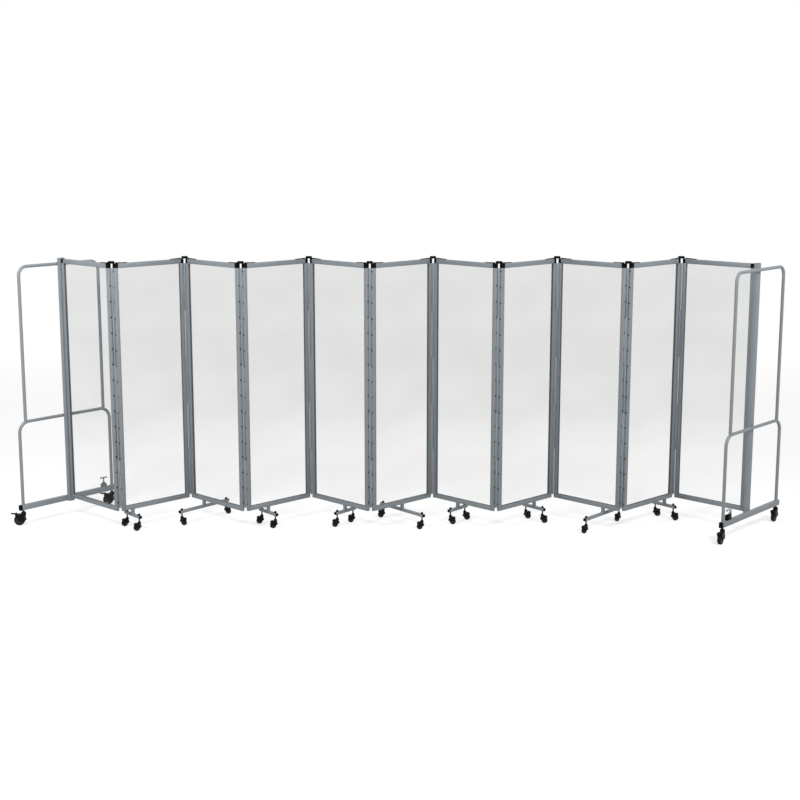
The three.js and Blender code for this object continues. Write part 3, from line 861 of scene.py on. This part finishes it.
def caster_fork(spec, trail, height):
    """Two cheeks, the hood over the wheel between them and the boss that holds the stem."""
    def build(shape):
        inner = spec["width"] / 2 + SIDE_CLEARANCE
        hood = hood_radius(spec)
        ceiling = hood - spec["wall"]
        cheek = (
            arc(trail, height, hood, *HOOD_ARC, 22)
            + arc(trail, height, spec["tab"], *TAB_ARC, 12)
        )
        for side in (-1, 1):
            shape.prism(cheek, *stretch_on(side, inner, inner + spec["cheek"]), "Y", 0.9)
        start, stop = HOOD_ARC[0] + HOOD_LAP, HOOD_ARC[1] - HOOD_LAP
        shell = (
            arc(trail, height, hood - SEAM, start, stop, 20)
            + arc(trail, height, ceiling, stop, start, 20)
        )
        shape.prism(shell, -inner - CHEEK_LAP, inner + CHEEK_LAP, "Y")
        boss, boss_top = spec["boss"], spec["boss_top"]
        clear = math.sqrt(max(ceiling ** 2 - (trail - boss) ** 2, 0))
        low = height + max(BOSS_LOW["tyre"] * spec["radius"], BOSS_LOW["hood"] * clear)
        top = height + hood + spec["boss_rise"]
        profile = [(CORE, low), (boss * 0.8, low), (boss, low + 3), (boss, top - 7)]
        profile += arc(boss_top - 2.5, top - 4.5, 4.5, 15, 88, 5)
        profile += [(CORE, top)]
        shape.lathe(profile, 32, "Z")
    return build


def caster_stem(spec, height, stem_top):
    """The stem, with a washer on the boss."""
    def build(shape):
        top = height + hood_radius(spec) + spec["boss_rise"]
        r = spec["stem"]
        washer = r + 2.6
        profile = [(CORE, top - 2), (washer, top - 2), (washer, top + 1.2), (r + 1.4, top + 2)]
        profile += [(r, top + 2.4), (r, stem_top - 1), (r - 1, stem_top), (CORE, stem_top)]
        shape.lathe(profile, 20, "Z")
    return build


def caster_bolt(spec, trail, height):
    """The wheel's axle, with a low head on one cheek and a nut on the other."""
    def build(shape):
        outer = spec["width"] / 2 + SIDE_CLEARANCE + spec["cheek"]
        r = spec["axle"]
        profile = [(CORE, -outer - 2.4), (r + 1, -outer - 2.4), (r + 2, -outer - 1.6)]
        profile += [(r + 2, -outer), (r, -outer), (r, outer), (r + 2.2, outer)]
        profile += [(r + 2.2, outer + 1.6), (r + 1.2, outer + 2.6), (CORE, outer + 2.6)]
        shape.lathe(profile, 18, "Y", (trail, 0, height))
    return build


def tyre(spec, trail, height):
    """The tread as a ring. It stands on the floor, so its radius is the axle's height."""
    def build(shape):
        half, shoulder = spec["width"] / 2, spec["shoulder"]
        flat = height - shoulder
        bore = spec["radius"] * spec["hub"]
        profile = [(bore, -half + 1.2), (bore + 1, -half), (flat, -half)]
        profile += arc(flat, -half + shoulder, shoulder, -90, -8, 5)[1:]
        profile += arc(flat, half - shoulder, shoulder, 8, 90, 5)
        profile += [(bore + 1, half), (bore, half - 1.2)]
        shape.lathe(profile, 48, "Y", (trail, 0, height), closed=True)
    return build


def hub(spec, trail, height):
    """The wheel's middle: a rim, a web set back from it with studs, and a nave."""
    def build(shape):
        half, axle = spec["width"] / 2, spec["axle"]
        rim = spec["radius"] * spec["hub"]
        lip, web, nave, stud = half - 1.4, half - 3.2, half - 0.4, half - 2.2
        face = [
            (rim, lip), (rim - 2.2, lip), (rim - 3, web),
            (axle + 5, web), (axle + 4, nave), (axle + 0.4, nave),
        ]
        profile = face[::-1] + [(r, -h) for r, h in face]
        shape.lathe(profile, 40, "Y", (trail, 0, height), closed=True)
        middle = (rim + axle) / 2
        for n in range(HUB_STUDS):
            turn = 2 * math.pi * n / HUB_STUDS
            place = (trail + middle * math.cos(turn), 0, height + middle * math.sin(turn))
            for side in (-1, 1):
                profile = [(CORE, web - SEAM), (1.7, web - SEAM), (1.4, stud), (CORE, stud)]
                shape.lathe([(r, side * h) for r, h in profile], 12, "Y", place)
    return build


def pedal_pivot(spec, trail, height):
    reach = hood_radius(spec) + PEDAL["rise"]
    angle = math.radians(PEDAL["angle"])
    return trail + reach * math.cos(angle), height + reach * math.sin(angle)


def pedal_ears(spec, trail, height):
    """Two ears on the hood and the pin that the pedal turns on."""
    def build(shape):
        x, z = pedal_pivot(spec, trail, height)
        inner = PEDAL["width"] / 2 + PEDAL["ear_gap"]
        angle, spread = PEDAL["angle"], PEDAL["ear_half_angle"]
        outline = arc(x, z, 5, -30, 150, 12)
        outline += arc(trail, height, hood_radius(spec) - 2, angle + spread, angle - spread, 4)
        for side in (-1, 1):
            shape.prism(outline, *stretch_on(side, inner, inner + PEDAL["ear"]), "Y", 0.8)
        end, r = inner + PEDAL["ear"] + 1, PEDAL["pin"]
        shape.lathe([(CORE, -end), (r, -end), (r, end), (CORE, end)], 16, "Y", (x, 0, z))
    return build


def brake_pedal(spec, trail, height):
    """A lever with a turned-up toe and ridges for grip."""
    def build(shape):
        x, z = pedal_pivot(spec, trail, height)
        thick, toe = PEDAL["thick"], x + PEDAL["lever"] + PEDAL["toe"]
        tip, middle = x + PEDAL["lever"], x + PEDAL["lever"] * 0.5
        half = PEDAL["width"] / 2 - SEAM
        outline = arc(x, z, 4.6, 80, 280, 12)
        outline += [(middle, z - thick * 0.6), (tip, z - thick * 0.5)]
        outline += [(toe, z + 3.4), (toe - 2.6, z + 6.2)]
        outline += [(tip - 3, z + thick * 0.5), (middle, z + thick * 0.45)]
        shape.prism(outline, -half, half, "Y", 0.9)
        for n in range(PEDAL["ridges"]):
            ridge = tip - 8 - PEDAL["ridge_pitch"] * n
            shape.block(1.6, 2 * half - 4, 1, ridge, 0, z + thick * 0.5 - 0.3, soft=0.3)
    return build


# ---------------------------------------------------------------- assembly


END_FITTINGS = {
    0: (
        ("base_cap_near", base_cap(1), BLACK, "black_plastic"),
        ("base_cap_far", base_cap(-1), PAINT, "frame_paint"),
        ("latch_body", latch_body, LATCH_GREY_AND_SHADE, "black_plastic"),
        ("latch_handle", latch_handle, PAINT, "frame_paint"),
    ),
    SECTIONS - 1: (
        ("base_cap_near", base_cap(-1), BLACK, "black_plastic"),
        ("base_cap_far", base_cap(1), PAINT, "frame_paint"),
        ("catch_block", catch_block, BLACK, "black_plastic"),
        ("catch_hook", catch_hook, STEEL, "bright_steel"),
    ),
}


def add_section(index):
    number = f"{index + 1:02d}"
    node = f"section_{number}"
    matrix = section_matrix(index)
    parity = "even" if index % 2 == 0 else "odd"

    def put(name, key, build, material, slot, place=matrix):
        piece(f"{name}_{number}", key, build, place, node, material, slot, node)

    put("sheet", "sheet", sheet, CLEAR, "clear_sheet")
    # Dark strips of painted shade round the window
    put("shade_strip", "shade_strip", shade_strip, LATCH_GREY_AND_SHADE, "black_plastic")
    put("bottom_rail", "bottom_rail", bottom_rail, PAINT, "frame_paint")
    put("top_rail", f"top_rail_{parity}", top_rail(index), PAINT, "frame_paint")
    for end, side in ((-1, "left"), (1, "right")):
        put(f"stile_{side}", f"stile_{side}", stile(end), PAINT, "frame_paint")
        key = f"{side}_{parity}"
        corner = corner_fitting(index, end)
        put(f"corner_{side}", f"corner_{key}", corner, BLACK, "black_plastic")
        if not has_hinge(index, end):
            continue
        screws = leaf_screws(index, end)
        put(f"leaf_{side}", f"leaf_{key}", hinge_leaf(index, end), PAINT, "frame_paint")
        put(f"knuckles_{side}", f"knuckles_{key}", knuckles(index, end), PAINT, "frame_paint")
        put(f"screws_{side}", f"screws_{key}", screws, DARK_STEEL, "dark_steel")
        put(f"arm_{side}", f"arm_{side}", tapered_rail_strip(end), BLACK, "black_plastic")
    if index < SECTIONS - 1:
        put("pin", f"pin_{parity}", hinge_pin(index), STEEL, "bright_steel")
        place = cap_matrix(index)
        put("cap", f"cap_{parity}", arched_cap(index), BLACK, "black_plastic", place)
    if index not in END_FITTINGS:
        x, reach = foot_places(index)
        put("foot", f"foot_{number}", foot(x, reach), PAINT, "frame_paint")
        put("foot_plugs", f"plugs_{number}", foot_plugs(x, reach), BLACK, "black_plastic")
        put("foot_nuts", f"nuts_{number}", foot_nuts(x, reach), BLACK, "black_plastic")
        return
    if index == 0:
        matrix = matrix @ Matrix.Rotation(math.pi, 4, "Z")
    for name, build, material, slot in (
        ("post", post, PAINT, "frame_paint"),
        ("base", base, PAINT, "frame_paint"),
        ("lower_loop", lower_loop, PAINT, "frame_paint"),
        ("upper_loop", upper_loop, PAINT, "frame_paint"),
        ("post_screws", post_screws, DARK_STEEL, "dark_steel"),
        *END_FITTINGS[index],
    ):
        put(name, f"{name}_{number}", build, material, slot, matrix)


def add_caster(stem):
    spec, size = (LARGE, "large") if stem.startswith("end") else (SMALL, "small")
    trail, height, matrix = caster_numbers(stem)
    fork, wheel = f"{stem}_fork", f"{stem}_wheel"
    stem_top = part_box(fork)[1].z / MM

    def put(name, build, body, material, slot):
        piece(f"{name}_{stem}", f"{name}_{size}", build, matrix, body, material, slot, body)

    put("fork", caster_fork(spec, trail, height), fork, FORK, "caster_plastic")
    put("stem", caster_stem(spec, height, stem_top), fork, DARK_STEEL, "dark_steel")
    put("bolt", caster_bolt(spec, trail, height), fork, DARK_STEEL, "dark_steel")
    put("tyre", tyre(spec, trail, height), wheel, TREAD, "caster_tread")
    put("hub", hub(spec, trail, height), wheel, HUB, "caster_plastic")
    if spec is LARGE:
        pedal = f"{stem}_brake_pedal"
        put("ears", pedal_ears(spec, trail, height), fork, FORK, "caster_plastic")
        put("pedal", brake_pedal(spec, trail, height), pedal, BLACK, "black_plastic")


for section_index in range(SECTIONS):
    add_section(section_index)
for joint_name in JOINTS:
    if joint_name.startswith("swivel_"):
        add_caster(joint_name.removeprefix("swivel_"))

# ---------------------------------------------------------------- stage, light and camera


def seen_directly(tree):
    """1 for the rays that show the stage itself, 0 for those that only bring its light."""
    path = tree.nodes.new("ShaderNodeLightPath")
    seen = path.outputs["Is Camera Ray"]
    for kind in ("Is Glossy Ray", "Is Transmission Ray"):
        either = tree.nodes.new("ShaderNodeMath")
        either.operation = "MAXIMUM"
        tree.links.new(seen, either.inputs[0])
        tree.links.new(path.outputs[kind], either.inputs[1])
        seen = either.outputs[0]
    return seen


def far_off(nodes):
    """Far from the object the floor turns into the plain white of the world behind it."""
    coordinates = nodes.add("ShaderNodeTexCoord")
    length = nodes.add("ShaderNodeVectorMath", operation="LENGTH")
    nodes.link(coordinates.outputs["Object"], length.inputs[0])
    fade = nodes.range(length.outputs["Value"], *FLOOR_FADE, 0, 1)
    white = nodes.add("ShaderNodeEmission")
    white.inputs["Strength"].default_value = 1
    mix = nodes.add("ShaderNodeMixShader")
    output = nodes.tree.nodes["Material Output"]
    nodes.link(fade, mix.inputs["Fac"])
    nodes.link(nodes.shader.outputs["BSDF"], mix.inputs[1])
    nodes.link(white.outputs["Emission"], mix.inputs[2])
    nodes.link(mix.outputs["Shader"], output.inputs["Surface"])


def add_floor():
    shape = Shape()
    width, thickness = FLOOR["width"], FLOOR["thickness"]
    shape.block(width, width, thickness, 0, 0, FLOOR["top"] - thickness, soft=0)
    data = shape.mesh("floor")
    floor = bpy.data.objects.new("floor", data)
    bpy.context.scene.collection.objects.link(floor)
    nodes = Nodes("pale_floor")
    set_inputs(nodes.shader, {
        "Base Color": (0.5, 0.5, 0.5, 1), "Roughness": 0.9, "Specular IOR Level": 0.1,
        "Emission Color": (1, 1, 1, 1),
    })
    glow = nodes.add("ShaderNodeMath", operation="MULTIPLY")
    glow.inputs[1].default_value = FLOOR_GLOW
    nodes.link(seen_directly(nodes.tree), glow.inputs[0])
    nodes.link(glow.outputs[0], nodes.shader.inputs["Emission Strength"])
    far_off(nodes)
    data.materials.append(nodes.material)


def add_world():
    world = bpy.data.worlds.new("studio")
    world.use_nodes = True
    bpy.context.scene.world = world
    tree = world.node_tree
    background = tree.nodes["Background"]
    background.inputs["Color"].default_value = (1, 1, 1, 1)
    strength = tree.nodes.new("ShaderNodeMapRange")
    set_inputs(strength, {"To Min": WORLD_LIGHT, "To Max": 1})
    tree.links.new(seen_directly(tree), strength.inputs["Value"])
    tree.links.new(strength.outputs["Result"], background.inputs["Strength"])


def add_lamp(name, place, target, size, power):
    data = bpy.data.lights.new(name, "AREA")
    data.shape = "RECTANGLE"
    data.size, data.size_y = size
    data.energy = power
    lamp = bpy.data.objects.new(name, data)
    lamp.location = place
    lamp.rotation_euler = (Vector(target) - Vector(place)).to_track_quat("-Z", "Y").to_euler()
    bpy.context.scene.collection.objects.link(lamp)


def add_camera():
    data = bpy.data.cameras.new("camera")
    width = CAMERA["picture_px"]
    data.sensor_width = CAMERA["sensor"]
    data.lens = CAMERA["focal_px"] * CAMERA["sensor"] / width
    data.shift_x = (width / 2 - CAMERA["centre_px"][0]) / width
    data.shift_y = (CAMERA["centre_px"][1] - width / 2) / width
    data.clip_end = CAMERA["clip_end"]
    camera = bpy.data.objects.new("camera", data)
    camera.location = Vector(CAMERA["place"]) + Vector((ROW_MIDDLE.x, ROW_MIDDLE.y, 0)) * MM
    camera.rotation_euler = (math.radians(90 - CAMERA["down"]), 0, 0)
    bpy.context.scene.collection.objects.link(camera)
    bpy.context.scene.camera = camera


add_floor()
add_world()
for lamp_values in LAMPS:
    add_lamp(**lamp_values)
add_camera()
bpy.context.scene.view_settings.view_transform = "Standard"
bpy.context.scene.cycles.transparent_max_bounces = TRANSPARENT_BOUNCES
